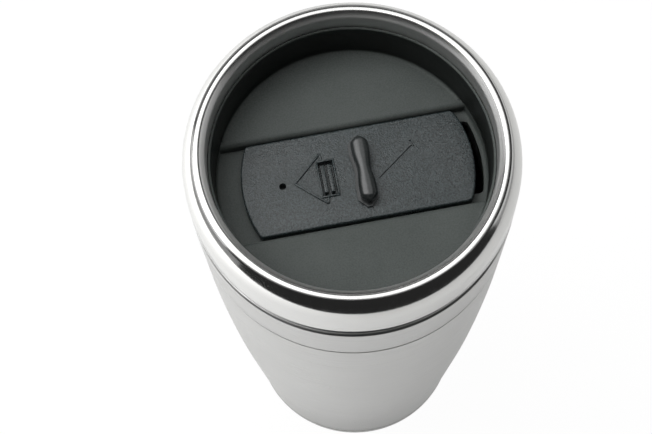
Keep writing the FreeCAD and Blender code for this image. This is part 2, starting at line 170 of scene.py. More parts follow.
def arcCorners(centre, radius, start, end, count):
    points = []
    for i in range(count + 1):
        angle = math.radians(start + (end - start) * i / count)
        points.append((centre[0] + radius * math.cos(angle), centre[1] + radius * math.sin(angle)))
    return points


# materials: each is a small node tree on object coordinates

def newMaterial(name):
    material = bpy.data.materials.new(name)
    material.use_nodes = True
    tree = material.node_tree
    shader = tree.nodes["Principled BSDF"]
    return material, tree, shader


def addNode(tree, kind, **settings):
    node = tree.nodes.new(kind)
    for key, value in settings.items():
        setattr(node, key, value)
    return node


def scaledCoordinates(tree, scale):
    source = addNode(tree, "ShaderNodeTexCoord")
    mapping = addNode(tree, "ShaderNodeMapping")
    mapping.inputs["Scale"].default_value = scale
    tree.links.new(source.outputs["Object"], mapping.inputs["Vector"])
    return mapping.outputs["Vector"]


def noise(tree, scale, stretch=(1, 1, 1), detail=3.0, rough=0.5):
    node = addNode(tree, "ShaderNodeTexNoise")
    node.inputs["Scale"].default_value = scale
    node.inputs["Detail"].default_value = detail
    node.inputs["Roughness"].default_value = rough
    tree.links.new(scaledCoordinates(tree, stretch), node.inputs["Vector"])
    return node.outputs["Fac"]


def ranged(tree, value, low, high, fromLow=0.3, fromHigh=0.7):
    node = addNode(tree, "ShaderNodeMapRange")
    node.inputs["From Min"].default_value = fromLow
    node.inputs["From Max"].default_value = fromHigh
    node.inputs["To Min"].default_value = low
    node.inputs["To Max"].default_value = high
    tree.links.new(value, node.inputs["Value"])
    return node.outputs["Result"]


def mixedColour(tree, value, dark, light, fromLow=0.35, fromHigh=0.65):
    ramp = addNode(tree, "ShaderNodeValToRGB")
    ramp.color_ramp.elements[0].position = fromLow
    ramp.color_ramp.elements[0].color = (*dark, 1)
    ramp.color_ramp.elements[1].position = fromHigh
    ramp.color_ramp.elements[1].color = (*light, 1)
    tree.links.new(value, ramp.inputs["Fac"])
    return ramp.outputs["Color"]


def maths(tree, first, second, operation="ADD"):
    node = addNode(tree, "ShaderNodeMath", operation=operation)
    tree.links.new(first, node.inputs[0])
    if isinstance(second, (int, float)):
        node.inputs[1].default_value = second
    else:
        tree.links.new(second, node.inputs[1])
    return node.outputs[0]


# both values mixed, the first one with this share
def shared(tree, first, second, share):
    return maths(tree, maths(tree, first, share, "MULTIPLY"),
                 maths(tree, second, 1 - share, "MULTIPLY"))


def axisDistance(tree):
    across = addNode(tree, "ShaderNodeVectorMath", operation="LENGTH")
    tree.links.new(scaledCoordinates(tree, (1, 1, 0)), across.inputs[0])
    return across.outputs["Value"]


def bumped(tree, shader, height, strength, depth):
    node = addNode(tree, "ShaderNodeBump")
    node.inputs["Strength"].default_value = strength
    node.inputs["Distance"].default_value = depth * mm
    tree.links.new(height, node.inputs["Height"])
    tree.links.new(node.outputs["Normal"], shader.inputs["Normal"])
    return node


def brushedSteel(name, values):
    material, tree, shader = newMaterial(name)
    shader.inputs["Metallic"].default_value = 1.0
    shader.inputs["Anisotropic"].default_value = values["anisotropy"]
    fine = noise(tree, values["lineScale"], (0.006, 0.006, 1.0), 4.0, 0.6)
    broad = noise(tree, values["lineScale"] * 0.22, (0.02, 0.02, 1.0), 2.0, 0.5)
    cloud = noise(tree, 40.0, (1, 1, 1), 3.0, 0.55)
    lines = shared(tree, fine, broad, 0.65)
    colour = mixedColour(tree, lines, values["dark"], values["light"], 0.3, 0.7)
    tree.links.new(colour, shader.inputs["Base Color"])
    streak = ranged(tree, lines, values["roughLow"], values["roughHigh"])
    drift = ranged(tree, cloud, -0.02, 0.03)
    tree.links.new(maths(tree, streak, drift), shader.inputs["Roughness"])
    bumped(tree, shader, lines, values["bump"], 0.02)
    tangent = addNode(tree, "ShaderNodeTangent", direction_type="RADIAL", axis="Z")
    tree.links.new(tangent.outputs["Tangent"], shader.inputs["Tangent"])
    return material


def polishedSteel(name, values):
    material, tree, shader = newMaterial(name)
    shader.inputs["Metallic"].default_value = 1.0
    shader.inputs["Base Color"].default_value = (*values["colour"], 1)
    lines = noise(tree, values["lineScale"], (0.004, 0.004, 1.0), 3.0, 0.6)
    smudge = noise(tree, 55.0, (1, 1, 1), 4.0, 0.6)
    wear = noise(tree, 900.0, (1, 1, 1), 2.0, 0.5)
    rough = maths(tree, ranged(tree, lines, values["roughLow"], values["roughHigh"]),
                  ranged(tree, smudge, 0.0, values["smudge"], 0.45, 0.75))
    rough = maths(tree, rough, ranged(tree, axisDistance(tree), values["neckRough"], 0.0,
                                      values["neckEnd"] * mm, values["neckStart"] * mm))
    tree.links.new(maths(tree, rough, ranged(tree, wear, 0.0, 0.03, 0.6, 0.8)),
                   shader.inputs["Roughness"])
    bumped(tree, shader, maths(tree, lines, smudge), values["bump"], 0.02)
    return material


# 1 outside a radius and between two heights, 0 elsewhere
def zone(tree, radius, height, ceiling):
    parts = addNode(tree, "ShaderNodeSeparateXYZ")
    tree.links.new(scaledCoordinates(tree, (1, 1, 1)), parts.inputs[0])
    outside = ranged(tree, axisDistance(tree), 0, 1, (radius - 0.5) * mm, (radius + 0.5) * mm)
    above = ranged(tree, parts.outputs["Z"], 0, 1, (height - 0.3) * mm, (height + 0.1) * mm)
    below = ranged(tree, parts.outputs["Z"], 1, 0, (ceiling - 0.1) * mm, (ceiling + 0.1) * mm)
    return maths(tree, maths(tree, outside, above, "MULTIPLY"), below, "MULTIPLY")


def mouldedPlastic(name, values):
    material, tree, shader = newMaterial(name)
    grain = noise(tree, values["grainScale"], (1, 1, 1), 3.0, 0.6)
    cloud = noise(tree, 60.0, (1, 1, 1), 3.0, 0.55)
    dust = noise(tree, 2600.0, (1, 1, 1), 1.0, 0.5)
    tint = mixedColour(tree, shared(tree, grain, cloud, values["grainShare"]),
                       values["dark"], values["light"], 0.38, 0.64)
    rough = maths(tree, ranged(tree, cloud, values["roughLow"], values["roughHigh"]),
                  ranged(tree, dust, 0.0, 0.06, 0.55, 0.75))
    # the wall and fillet just inside the lid rim get painted shade: a much darker colour standing in
    # for the shade there, together with a lower roughness
    if "smoothShadeRadius" in values:
        smoothAndShadeMask = zone(tree, values["smoothShadeRadius"], values["smoothShadeLow"], values["smoothShadeHigh"])
        blend = addNode(tree, "ShaderNodeMix", data_type="RGBA")
        grained, paintedShadeSlot = blend.inputs[6:8]  # the colour pair of the node
        tree.links.new(smoothAndShadeMask, blend.inputs["Factor"])
        tree.links.new(tint, grained)
        paintedShadeSlot.default_value = (*values["paintedShadeColour"], 1)
        tint = blend.outputs[2]
        rough = maths(tree, rough, maths(tree, smoothAndShadeMask, values["smoothGloss"], "MULTIPLY"),
                      "SUBTRACT")
    tree.links.new(tint, shader.inputs["Base Color"])
    tree.links.new(rough, shader.inputs["Roughness"])
    shader.inputs["Specular IOR Level"].default_value = values["specular"]
    bumped(tree, shader, grain, values["bump"], values["grainDepth"])
    return material


def blackRubber(name, values):
    material, tree, shader = newMaterial(name)
    speck = noise(tree, 1800.0, (1, 1, 1), 2.0, 0.5)
    cloud = noise(tree, 70.0, (1, 1, 1), 3.0, 0.5)
    tree.links.new(mixedColour(tree, cloud, values["dark"], values["light"]),
                   shader.inputs["Base Color"])
    tree.links.new(ranged(tree, speck, values["roughLow"], values["roughHigh"]),
                   shader.inputs["Roughness"])
    shader.inputs["Specular IOR Level"].default_value = values["specular"]
    bumped(tree, shader, speck, values["bump"], 0.05)
    return material


def cellFoam(name):
    material, tree, shader = newMaterial(name)
    cells = addNode(tree, "ShaderNodeTexVoronoi")
    cells.inputs["Scale"].default_value = 900.0
    tree.links.new(scaledCoordinates(tree, (1, 1, 1)), cells.inputs["Vector"])
    tree.links.new(mixedColour(tree, cells.outputs["Distance"], (0.62, 0.58, 0.50),
                               (0.80, 0.77, 0.70), 0.1, 0.6), shader.inputs["Base Color"])
    shader.inputs["Roughness"].default_value = 0.85
    bumped(tree, shader, cells.outputs["Distance"], 0.6, 0.3)
    return material


shellSteel = brushedSteel("shellSteel", {
    "lineScale": 4600.0, "dark": (0.48, 0.48, 0.475), "light": (0.65, 0.65, 0.645),
    "roughLow": 0.24, "roughHigh": 0.42, "anisotropy": 0.55, "bump": 0.16})
linerSteel = brushedSteel("linerSteel", {
    "lineScale": 3800.0, "dark": (0.44, 0.44, 0.43), "light": (0.56, 0.56, 0.55),
    "roughLow": 0.24, "roughHigh": 0.34, "anisotropy": 0.4, "bump": 0.06})
collarSteel = polishedSteel("collarSteel", {
    "colour": (0.74, 0.74, 0.73), "lineScale": 4200.0, "roughLow": 0.10, "roughHigh": 0.15,
    "smudge": 0.04, "bump": 0.012, "neckRough": 0.38, "neckEnd": 36.3, "neckStart": 37.6})
lidPlastic = mouldedPlastic("lidPlastic", {
    "grainScale": 2600.0, "grainShare": 0.6,
    "dark": (0.060, 0.070, 0.066), "light": (0.096, 0.107, 0.102),
    "roughLow": 0.56, "roughHigh": 0.68, "specular": 0.3, "bump": 0.5, "grainDepth": 0.04,
    # the wall band inside the rim: painted shade colour and a lower roughness
    "smoothShadeRadius": 33.9, "smoothShadeLow": 157.2, "smoothShadeHigh": 167.9,
    "paintedShadeColour": (0.012, 0.014, 0.013), "smoothGloss": 0.2})
sliderPlastic = mouldedPlastic("sliderPlastic", {
    "grainScale": 2700.0, "grainShare": 0.85,
    "dark": (0.002, 0.007, 0.0075), "light": (0.052, 0.069, 0.072),
    "roughLow": 0.25, "roughHigh": 0.33, "specular": 0.5, "bump": 1.0, "grainDepth": 0.14})
tabPlastic = mouldedPlastic("tabPlastic", {
    "grainScale": 1900.0, "grainShare": 0.45,
    "dark": (0.018, 0.021, 0.021), "light": (0.040, 0.045, 0.045),
    "roughLow": 0.15, "roughHigh": 0.22, "specular": 0.5, "bump": 0.25, "grainDepth": 0.04})
ringRubber = blackRubber("ringRubber", {
    "dark": (0.004, 0.004, 0.004), "light": (0.010, 0.010, 0.010),
    "roughLow": 0.7, "roughHigh": 0.85, "specular": 0.15, "bump": 0.3})
padRubber = blackRubber("padRubber", {
    "dark": (0.018, 0.018, 0.018), "light": (0.034, 0.034, 0.034),
    "roughLow": 0.55, "roughHigh": 0.75, "specular": 0.4, "bump": 0.4})
sealSilicone = blackRubber("sealSilicone", {
    "dark": (0.035, 0.036, 0.037), "light": (0.055, 0.056, 0.058),
    "roughLow": 0.35, "roughHigh": 0.5, "specular": 0.4, "bump": 0.15})
foamFill = cellFoam("foamFill")
print("materials ready")


# mug body, from the bottom up

shellLow, shellHigh = boxOf("outer_shell")
collarLow, collarHigh = boxOf("rim_collar")
linerLow, linerHigh = boxOf("inner_liner")
rimRadius = collarHigh.x

shellValues = {
    "wall": 0.6, "bendHeight": 84.6, "bendInset": 1.9, "bendReach": 34.0, "footInset": 9.4,
    "grooveDrop": 17.0, "grooveDepth": 0.45, "grooveHalf": 0.45, "topRounding": 1.0,
    "hem": 1.4,
}


def shellRadius(height):
    v = shellValues
    bendRadius = rimRadius - v["bendInset"]
    if height > v["bendHeight"]:
        slope = v["bendInset"] / (shellHigh.z - 0.5 - v["bendHeight"])
    else:
        slope = (v["footInset"] - v["bendInset"]) / (v["bendHeight"] - shellLow.z)
    return bendRadius + slope * (height - v["bendHeight"])


def makeShell():
    v = shellValues
    wall = v["wall"]
    bend = v["bendHeight"]
    groove = shellHigh.z - v["grooveDrop"]
    foot = shellLow.z
    corners = [
        (rimRadius, shellHigh.z, v["topRounding"], 8),
        (rimRadius - v["hem"], shellHigh.z, 0.15, 3),
        (rimRadius - v["hem"], shellHigh.z - 1.0, 0.15, 3),
        (rimRadius - wall, shellHigh.z - 1.6, 0.2, 3),
        (shellRadius(bend) - wall, bend, v["bendReach"], 14),
        (shellRadius(foot) - wall, foot, 0.15, 2),
        (shellRadius(foot), foot, 0.35, 4),
        (shellRadius(bend), bend, v["bendReach"], 24),
        (shellRadius(groove - v["grooveHalf"]), groove - v["grooveHalf"], 0.12, 3),
        (shellRadius(groove) - v["grooveDepth"], groove, 0.1, 3),
        (shellRadius(groove + v["grooveHalf"]), groove + v["grooveHalf"], 0.12, 3),
    ]
    finished("shellBody", turned(corners, around=256), shellSteel, "mug", "outer_shell",
             sharp=60)


collarValues = {
    "shoulder": 9.0, "lip": 2.0, "innerLip": 1.2, "sheet": 0.8, "neckInset": 6.3,
    "throatDrop": 1.5, "throatEase": 0.15, "throatLength": 2.5, "linerWall": 0.6, "footCurl": 0.5,
}


def makeCollar():
    v = collarValues
    top = collarHigh.z
    foot = collarLow.z
    diagonal = math.sqrt(0.5)
    spring = top - (v["shoulder"] - v["lip"]) * diagonal - v["lip"]
    neck = rimRadius - v["neckInset"]
    shoulderAt = (rimRadius - v["shoulder"], spring)
    crown = rimRadius - (v["shoulder"] - v["lip"]) * (1 - diagonal) - v["lip"]
    outer = arcCorners(shoulderAt, v["shoulder"], 0, 45, 10)
    lip = arcCorners((crown, top - v["lip"]), v["lip"], 45, 90, 8)[1:]
    inner = arcCorners((crown, top - v["innerLip"]), v["innerLip"], 90, 132, 8)[1:]
    inside = v["shoulder"] - v["sheet"]
    under = arcCorners(shoulderAt, inside, 50, 0, 8)
    throat = top - v["throatDrop"]
    corners = [(rimRadius, foot, v["footCurl"], 4)] + outer + lip + inner + [
        (neck + v["throatEase"], throat, 0.4, 4), (neck + 0.05, throat - v["throatLength"]),
        (neck, linerHigh.z), (neck + v["linerWall"], linerHigh.z),
        # the hidden back of the sheet, up to the lip
        (neck + v["linerWall"] + 0.1, throat - 0.6),
        (crown - 0.7, top - 1.35), (crown - 0.2, top - v["sheet"] - 0.1),
    ] + under + [(rimRadius - v["sheet"], foot, v["footCurl"], 4)]
    finished("collarRing", turned(corners, around=288), collarSteel, "mug", "rim_collar",
             sharp=50)


linerValues = {
    "wall": 0.6, "gap": 6.0, "ledgeDrop": 28.0, "ledgeWidth": 1.4, "ledgeRun": 8.0, "floorCurve": 8.0,
}


def makeLiner():
    v = linerValues
    neck = rimRadius - collarValues["neckInset"]
    ledge = collarHigh.z - v["ledgeDrop"]
    below = neck - v["ledgeWidth"]
    shift = shellValues["wall"] + v["gap"]
    bend = shellValues["bendHeight"]
    floor = linerLow.z
    wall = v["wall"]
    corners = [
        (0, floor), (shellRadius(floor) - shift, floor, v["floorCurve"] + wall, 10),
        (shellRadius(bend) - shift, bend, shellValues["bendReach"], 14),
        (below + wall, ledge - v["ledgeRun"]), (below + wall, ledge - wall, 0.4, 4),
        (neck + wall, ledge - wall, 0.4, 4), (neck + wall, linerHigh.z),
        (neck, linerHigh.z), (neck, ledge, 0.5, 5), (below, ledge, 0.5, 5),
        (below, ledge - v["ledgeRun"]),
        (shellRadius(bend) - shift - wall, bend, shellValues["bendReach"], 14),
        (shellRadius(floor) - shift - wall, floor + wall, v["floorCurve"], 10), (0, floor + wall),
    ]
    finished("linerCup", turned(corners, closed=False, around=192), linerSteel, "mug",
             "inner_liner", sharp=50)


seamValues = {
    "faceInset": 1.7, "gap": 0.2, "insideGap": 0.8, "plugGap": 0.1, "fit": 0.05, "lip": 0.35,
    "lipHalf": 0.5,
}


def makeSeamRing():
    v = seamValues
    low, high = boxOf("seam_ring")
    face = rimRadius - v["faceInset"]
    inside = rimRadius - collarValues["neckInset"] + v["insideGap"]
    tuck = rimRadius - collarValues["sheet"] - v["gap"]
    plug = rimRadius - shellValues["hem"] - v["plugGap"]
    seat = shellHigh.z + v["fit"]
    roof = collarLow.z - v["fit"]
    middle = (shellHigh.z + collarLow.z) / 2
    corners = [
        (inside, low.z, 0.3, 3), (plug, low.z, 0.3, 3), (plug, seat), (face, seat, 0.2, 3),
        (face, middle - v["lipHalf"], 0.2, 3), (face - v["lip"], middle, 0.2, 3),
        (face, middle + v["lipHalf"], 0.2, 3), (face, roof, 0.2, 3), (tuck, roof),
        (tuck, high.z, 0.3, 3), (inside, high.z, 0.3, 3),
    ]
    finished("seamBand", turned(corners, around=192), ringRubber, "mug", "seam_ring",
             sharp=50)


baseValues = {
    "cap": 1.0, "rimWidth": 3.0, "curve": 1.6, "plugGap": 0.2, "seatGap": 0.3, "padGap": 0.02,
    "dishRadius": 9.0, "dishDepth": 0.6, "ribs": 5, "ribFrom": 12.0, "ribMargin": 1.0,
    "ribWidth": 1.2, "ribSlope": 0.25, "ribDepth": 0.25,
}


def makeBase():
    v = baseValues
    low, high = boxOf("base_cap")
    padLow, padHigh = boxOf("base_pad")
    edge = high.x
    plug = shellRadius(shellLow.z) - shellValues["wall"] - v["plugGap"]
    seat = shellLow.z - v["seatGap"]
    under = padHigh.z + v["padGap"]
    corners = [
        (0, under), (edge - v["rimWidth"], under, 0.25, 3), (edge - v["rimWidth"], low.z, 0.4, 4),
        (edge, low.z, v["curve"], 8), (edge, seat, 0.45, 4), (plug, seat), (plug, high.z, 0.3, 3),
        (plug - v["cap"], high.z, 0.3, 3), (plug - v["cap"], under + v["cap"], 0.6, 3),
        (0, under + v["cap"]),
    ]
    finished("capDisc", turned(corners, closed=False, around=224), shellSteel, "mug", "base_cap",
             sharp=50)
    radius = padHigh.x
    dish = v["dishRadius"]
    corners = [(0, padLow.z + v["dishDepth"]), (dish, padLow.z + v["dishDepth"], 0.3, 3),
               (dish + v["dishDepth"], padLow.z, 0.3, 3)]
    step = (radius - v["ribFrom"] - v["ribMargin"]) / v["ribs"]
    for i in range(v["ribs"]):
        start = v["ribFrom"] + step * i
        end = start + v["ribWidth"]
        deep = padLow.z + v["ribDepth"]
        corners += [
            (start, padLow.z, 0.1, 2), (start + v["ribSlope"], deep, 0.1, 2),
            (end - v["ribSlope"], deep, 0.1, 2), (end, padLow.z, 0.1, 2),
        ]
    corners += [(radius, padLow.z, 0.5, 4), (radius, padHigh.z, 0.2, 3), (0, padHigh.z)]
    finished("footPad", turned(corners, closed=False, around=160), padRubber, "mug", "base_pad",
             sharp=50)


makeShell()
makeCollar()
makeLiner()
makeSeamRing()
makeBase()
print("mug body made")


# lid

lidLow, lidHigh = boxOf("lid_body")
sliderLow, sliderHigh = boxOf("slider_plate")
tabLow, tabHigh = boxOf("thumb_tab")
lidValues = {
    "footWall": 0.7, "rimWall": 0.55, "lipFlare": 0.36, "lipHeight": 0.5, "lipFrom": 1.6,
    "lipBlend": 2.0, "skirtWall": 1.7, "plateBelowTop": 11.7, "channelDepth": 3.2, "floor": 2.0,
    "grooveHeight": 3.4, "grooveDepth": 1.0, "grooveLift": 0.2,
    "sideGap": 0.5, "edgeRounding": 1.5, "slotOuterGap": 1.1, "slotWidth": 5.2,
    "slotHalfSpan": 10.2, "slotCorner": 0.6, "ventWidth": 1.8, "ventAt": -23.1,
    "travelOpen": 5.2, "travelClose": 2.3, "guideHalf": 4.3, "guideInset": 0.9,
    "fillet": 1.3, "channelFillet": 0.8, "channelReach": 36.0, "bayMargin": 1.6, "bayGap": 0.4,
}
lidRadius = lidHigh.x
lidInner = lidRadius - lidValues["footWall"]
plateTop = lidHigh.z - lidValues["plateBelowTop"]
channelFloor = plateTop - lidValues["channelDepth"]
floorUnder = channelFloor - lidValues["floor"]
channelHalf = (sliderHigh.y - sliderLow.y) / 2 + lidValues["sideGap"]


def makeLid():
    v = lidValues
    skirt = lidRadius - v["skirtWall"]
    foot = lidLow.z
    grooveHigh = floorUnder + v["grooveLift"]
    lip = lidRadius + v["lipFlare"]
    grooveLow = grooveHigh - v["grooveHeight"]
    grooveRadius = lidRadius - v["grooveDepth"]
    corners = [
        (0, floorUnder), (skirt, floorUnder, 0.6, 4), (skirt, foot, 0.4, 4),
        (lidRadius, foot, 0.5, 4), (lidRadius, grooveLow, 0.15, 3),
        (grooveRadius, grooveLow, 0.2, 3), (grooveRadius, grooveHigh, 0.2, 3),
        (lidRadius, grooveHigh, 0.15, 3), (lidRadius, lidHigh.z - v["lipFrom"], 0.4, 3),
        (lip, lidHigh.z - v["lipHeight"], 0.3, 4), (lip - 0.1, lidHigh.z, 0.25, 4),
        (lip - v["rimWall"] - 0.1, lidHigh.z, 0.25, 4),
        (lidRadius - v["rimWall"] - 0.05, lidHigh.z - v["lipBlend"], 1.0, 4),
        (lidInner, plateTop, v["fillet"], 10), (0, plateTop),
    ]
    lid = meshOf(turned(corners, closed=False, around=256))
    lid = combined(lid, meshOf(channelTool()), "DIFFERENCE")
    lid = combined(lid, meshOf(slotTool()), "DIFFERENCE")
    vent = peg(v["ventWidth"] / 2, v["ventAt"], channelFloor, 6, 32)
    lid = combined(lid, vent, "DIFFERENCE")
    guideLow = tabLow.x + v["guideInset"] - v["travelOpen"]
    guideHigh = tabHigh.x - v["guideInset"] + v["travelClose"]
    outline = rectangle((guideLow, -v["guideHalf"]), (guideHigh, v["guideHalf"]), v["slotCorner"])
    guide = slab(outline, floorUnder - passBy, channelFloor + passBy)
    lid = combined(lid, meshOf(guide), "DIFFERENCE")
    for side in (1, -1):
        lid = combined(lid, meshOf(bayTool(side)), "DIFFERENCE")
    placed("lidShell", lid, lidPlastic, "lid", "lid_body", sharp=38)


# the channel's cross-section flares at the top, which rounds the edges beside the slider
def channelTool():
    v = lidValues
    rounding = v["edgeRounding"]
    half = channelHalf
    bm = bmesh.new()
    section = [(half, channelFloor - passBy), (half, plateTop - rounding)]
    section += arcCorners((half + rounding, plateTop - rounding), rounding, 180, 90, 8)[1:]
    section += [(half + rounding + 0.4, plateTop + 0.02), (half + rounding + 0.4, plateTop + 0.6)]
    loop = section + [(-y, z) for y, z in reversed(section)]
    verts = [bm.verts.new((-v["channelReach"] * mm, y * mm, z * mm)) for y, z in loop]
    face = bm.faces.new(verts)
    grown = bmesh.ops.extrude_face_region(bm, geom=[face])["geom"]
    moved = [g for g in grown if isinstance(g, bmesh.types.BMVert)]
    bmesh.ops.translate(bm, verts=moved, vec=(2 * v["channelReach"] * mm, 0, 0))
    bmesh.ops.recalc_face_normals(bm, faces=bm.faces)
    edge = lidInner - 0.02
    limit = turned([(0, channelFloor), (edge, channelFloor, v["channelFillet"], 6),
                    (edge, lidHigh.z), (0, lidHigh.z)], closed=False, around=256)
    tool = combined(meshOf(bm), meshOf(limit), "INTERSECT")
    result = bmesh.new()
    result.from_mesh(tool)
    return result


def slotTool():
    v = lidValues
    outer = lidInner - v["slotOuterGap"]
    inner = outer - v["slotWidth"]
    span = v["slotHalfSpan"]
    outerAngle = math.degrees(math.asin((span - v["slotCorner"]) / outer))
    innerAngle = math.degrees(math.asin((span - v["slotCorner"]) / inner))
    endAt = outer * math.cos(math.radians(outerAngle)) - 1.0
    corners = arcCorners((0, 0), outer, -outerAngle, outerAngle, 24) + [(endAt, span, 0.5)]
    corners += arcCorners((0, 0), inner, innerAngle, -innerAngle, 24) + [(endAt, -span, 0.5)]
    return slab(corners, floorUnder - passBy, channelFloor + passBy)


# the hollow under the plate on one side of the channel
def bayTool(side):
    v = lidValues
    radius = lidRadius - v["skirtWall"] - v["bayGap"]
    angle = math.degrees(math.asin((channelHalf + v["bayMargin"]) / radius))
    corners = [(x, y * side) for x, y in arcCorners((0, 0), radius, angle, 180 - angle, 48)]
    return slab(corners, floorUnder - passBy, plateTop - v["floor"])


def makeGasket():
    low, high = boxOf("lid_gasket")
    inner = lidRadius - lidValues["grooveDepth"] + 0.05
    skin = lidRadius - 0.15
    fin = high.x
    step = (high.z - low.z) / 5
    corners = [
        (inner, low.z, 0.1, 2), (skin, low.z, 0.15, 3), (skin, low.z + step * 0.7, 0.1, 2),
        (fin, low.z + step * 1.15, 0.1, 3), (fin, low.z + step * 1.55, 0.1, 3),
        (skin, low.z + step * 2, 0.1, 2), (skin, low.z + step * 3, 0.1, 2),
        (fin, low.z + step * 3.55, 0.1, 3), (fin, low.z + step * 3.95, 0.1, 3),
        (skin, low.z + step * 4.4, 0.1, 2), (skin, high.z, 0.15, 3), (inner, high.z, 0.1, 2),
    ]
    finished("gasketRing", turned(corners, around=192), sealSilicone, "lid", "lid_gasket",
             sharp=60)


makeLid()
makeGasket()
print("lid made")


# slider with its relief, tab and pads

sliderValues = {
    "thickness": 2.8, "endCurve": 30.0, "rightCorner": 1.2, "leftCorner": 0.7, "edge": 0.45,
    "vent": -17.9, "ventWidth": 1.8, "stemHalf": (1.4, 4.2), "padInset": 0.1, "padCurveInset": 0.7,
}
sliderTop = sliderLow.z + sliderValues["thickness"]
tabX = (tabLow.x + tabHigh.x) / 2


def makeSlider():
    v = sliderValues
    half = sliderHigh.y
    curve = v["endCurve"]
    angle = math.degrees(math.asin(half / curve))
    right = arcCorners((sliderHigh.x - curve, 0), curve, -angle, angle, 28)
    left = arcCorners((sliderLow.x + curve, 0), curve, 180 - angle, 180 + angle, 28)
    corners = [right[0] + (v["rightCorner"],)] + right[3:-3] + [right[-1] + (v["rightCorner"],)]
    corners += [left[0] + (v["leftCorner"],)] + left[2:-2] + [left[-1] + (v["leftCorner"],)]
    bm = slab(corners, sliderLow.z, sliderTop, steps=8)
    soften(bm, topEdges(bm, sliderTop), v["edge"], 4)
    plate = meshOf(bm)
    cuts = [peg(v["ventWidth"] / 2, v["vent"], sliderTop, 8, 40)]
    across, along = v["stemHalf"]
    cuts.append(meshOf(slab(rectangle((tabX - across, -along), (tabX + across, along)),
                            sliderLow.z - passBy, sliderTop + passBy)))
    for node in ("slot_seal", "vent_seal"):
        low, high = boxOf(node)
        inset = v["padInset"]
        outline = rectangle((low.x - inset, low.y - inset), (high.x + inset, high.y + inset))
        pocket = meshOf(slab(outline, sliderLow.z - passBy, high.z + 0.02))
        if node == "slot_seal":
            endDisc = peg(curve - v["padCurveInset"], sliderHigh.x - curve, sliderTop, 30, 256)
            pocket = combined(pocket, endDisc, "INTERSECT")
        cuts.append(pocket)
    for cut in cuts + sunkLines():
        plate = combined(plate, cut, "DIFFERENCE")
    work = bmesh.new()
    work.from_mesh(plate)
    for relief in reliefs():
        work.from_mesh(relief)
    finished("sliderFace", work, sliderPlastic, "slider", "slider_plate",
             sharp=40)


reliefValues = {
    "rise": 0.42, "sink": 0.25, "edge": 0.16, "arrowLine": 0.6, "arrowTip": (-14.8, 0.1),
    "arrowUpper": (-7.3, 6.9), "arrowLower": (-7.3, -6.7), "barbUpper": (-7.0, 4.9),
    "barbLower": (-7.0, -5.0), "frameLow": (-8.2, -4.6), "frameHigh": (-4.4, 4.6),
    "frameLine": 0.5, "hollow": 1.7, "barHalf": (0.5, 3.7), "barSpread": 0.86, "barRise": 0.2,
    "leaders": (((6.6, -2.4), (16.4, 4.9), 0.42), ((16.1, 6.4), (16.9, 4.4), 0.5)),
    "leaderDepth": 0.45,
}


# four corners of a straight stroke from start to end
def stroke(start, end, width):
    start, end = Vector(start), Vector(end)
    along = (end - start).normalized()
    across = Vector((-along.y, along.x)) * width / 2
    return [tuple(start + across), tuple(start - across), tuple(end - across), tuple(end + across)]


def ridge(corners, low, high, edge, steps):
    bm = slab(corners, low, high, steps)
    soften(bm, topEdges(bm, high), edge, 2)
    return meshOf(bm)


# shapes cut into the top face: the hollow of the frame and the faint leader line
def sunkLines():
    v = reliefValues
    hollow = slab(rectangle(v["frameLow"], v["frameHigh"], 0.2), sliderTop - v["hollow"],
                  sliderTop + passBy)
    leaders = [slab(stroke(*leader), sliderTop - v["leaderDepth"], sliderTop + passBy)
               for leader in v["leaders"]]
    return [meshOf(bm) for bm in [hollow] + leaders]


def reliefs():
    v = reliefValues
    arrow, line = v["arrowLine"], v["frameLine"]
    (x0, y0), (x1, y1) = v["frameLow"], v["frameHigh"]
    strokes = [
        (v["arrowTip"], v["arrowUpper"], arrow), (v["arrowTip"], v["arrowLower"], arrow),
        (v["arrowUpper"], v["barbUpper"], arrow), (v["arrowLower"], v["barbLower"], arrow),
        ((x0 - line * 0.4, y0), (x0 - line * 0.4, y1), line),
        ((x1 + line * 0.5, y0), (x1 + line * 0.5, y1), line),
    ]
    for y in (y1 + line * 0.5, y0 - line * 0.5):
        strokes.append(((x0 - line * 0.9, y), (x1 + line, y), line))
    parts = [ridge(stroke(*s), sliderTop - v["sink"], sliderTop + v["rise"], v["edge"], 4)
             for s in strokes]
    middle = (x0 + x1) / 2
    across, along = v["barHalf"]
    for x in (middle - v["barSpread"], middle + v["barSpread"]):
        parts.append(ridge(rectangle((x - across, -along), (x + across, along), 0.2),
                           sliderTop - v["hollow"] - 0.1, sliderTop + v["barRise"], 0.15, 3))
    return parts


tabValues = {
    "length": 19.4, "endHalf": 2.65, "waistHalf": 2.15, "endFrom": 4.6, "taper": 2.1,
    "seatGap": 0.02, "foot": 0.9, "footTip": 0.6, "step": 0.34, "bodyFrom": 0.3,
    "bodyInset": 0.7, "bodyTip": 0.3, "endReach": 1.6, "endDrop": 0.3, "side": 0.45,
    "lean": 0.28, "square": 0.78, "slices": 64, "around": 24,
    "stem": 1.2, "stemUp": 0.5, "barb": 1.9, "barbHeight": 0.7, "stemLength": 8.0,
}


# half the width at a place along the tab: wide near the ends, narrow in the middle
def tabHalf(y, reach, tip, faceted):
    v = tabValues
    away = abs(y)
    blend = min(1, away / v["endFrom"])
    half = v["waistHalf"] + (v["endHalf"] - v["waistHalf"]) * blend * blend * (3 - 2 * blend)
    part = max(0, (reach - away) / v["taper"])
    if part < 1:
        half = tip + (half - tip) * (part if faceted else math.sin(part * math.pi / 2))
    return half


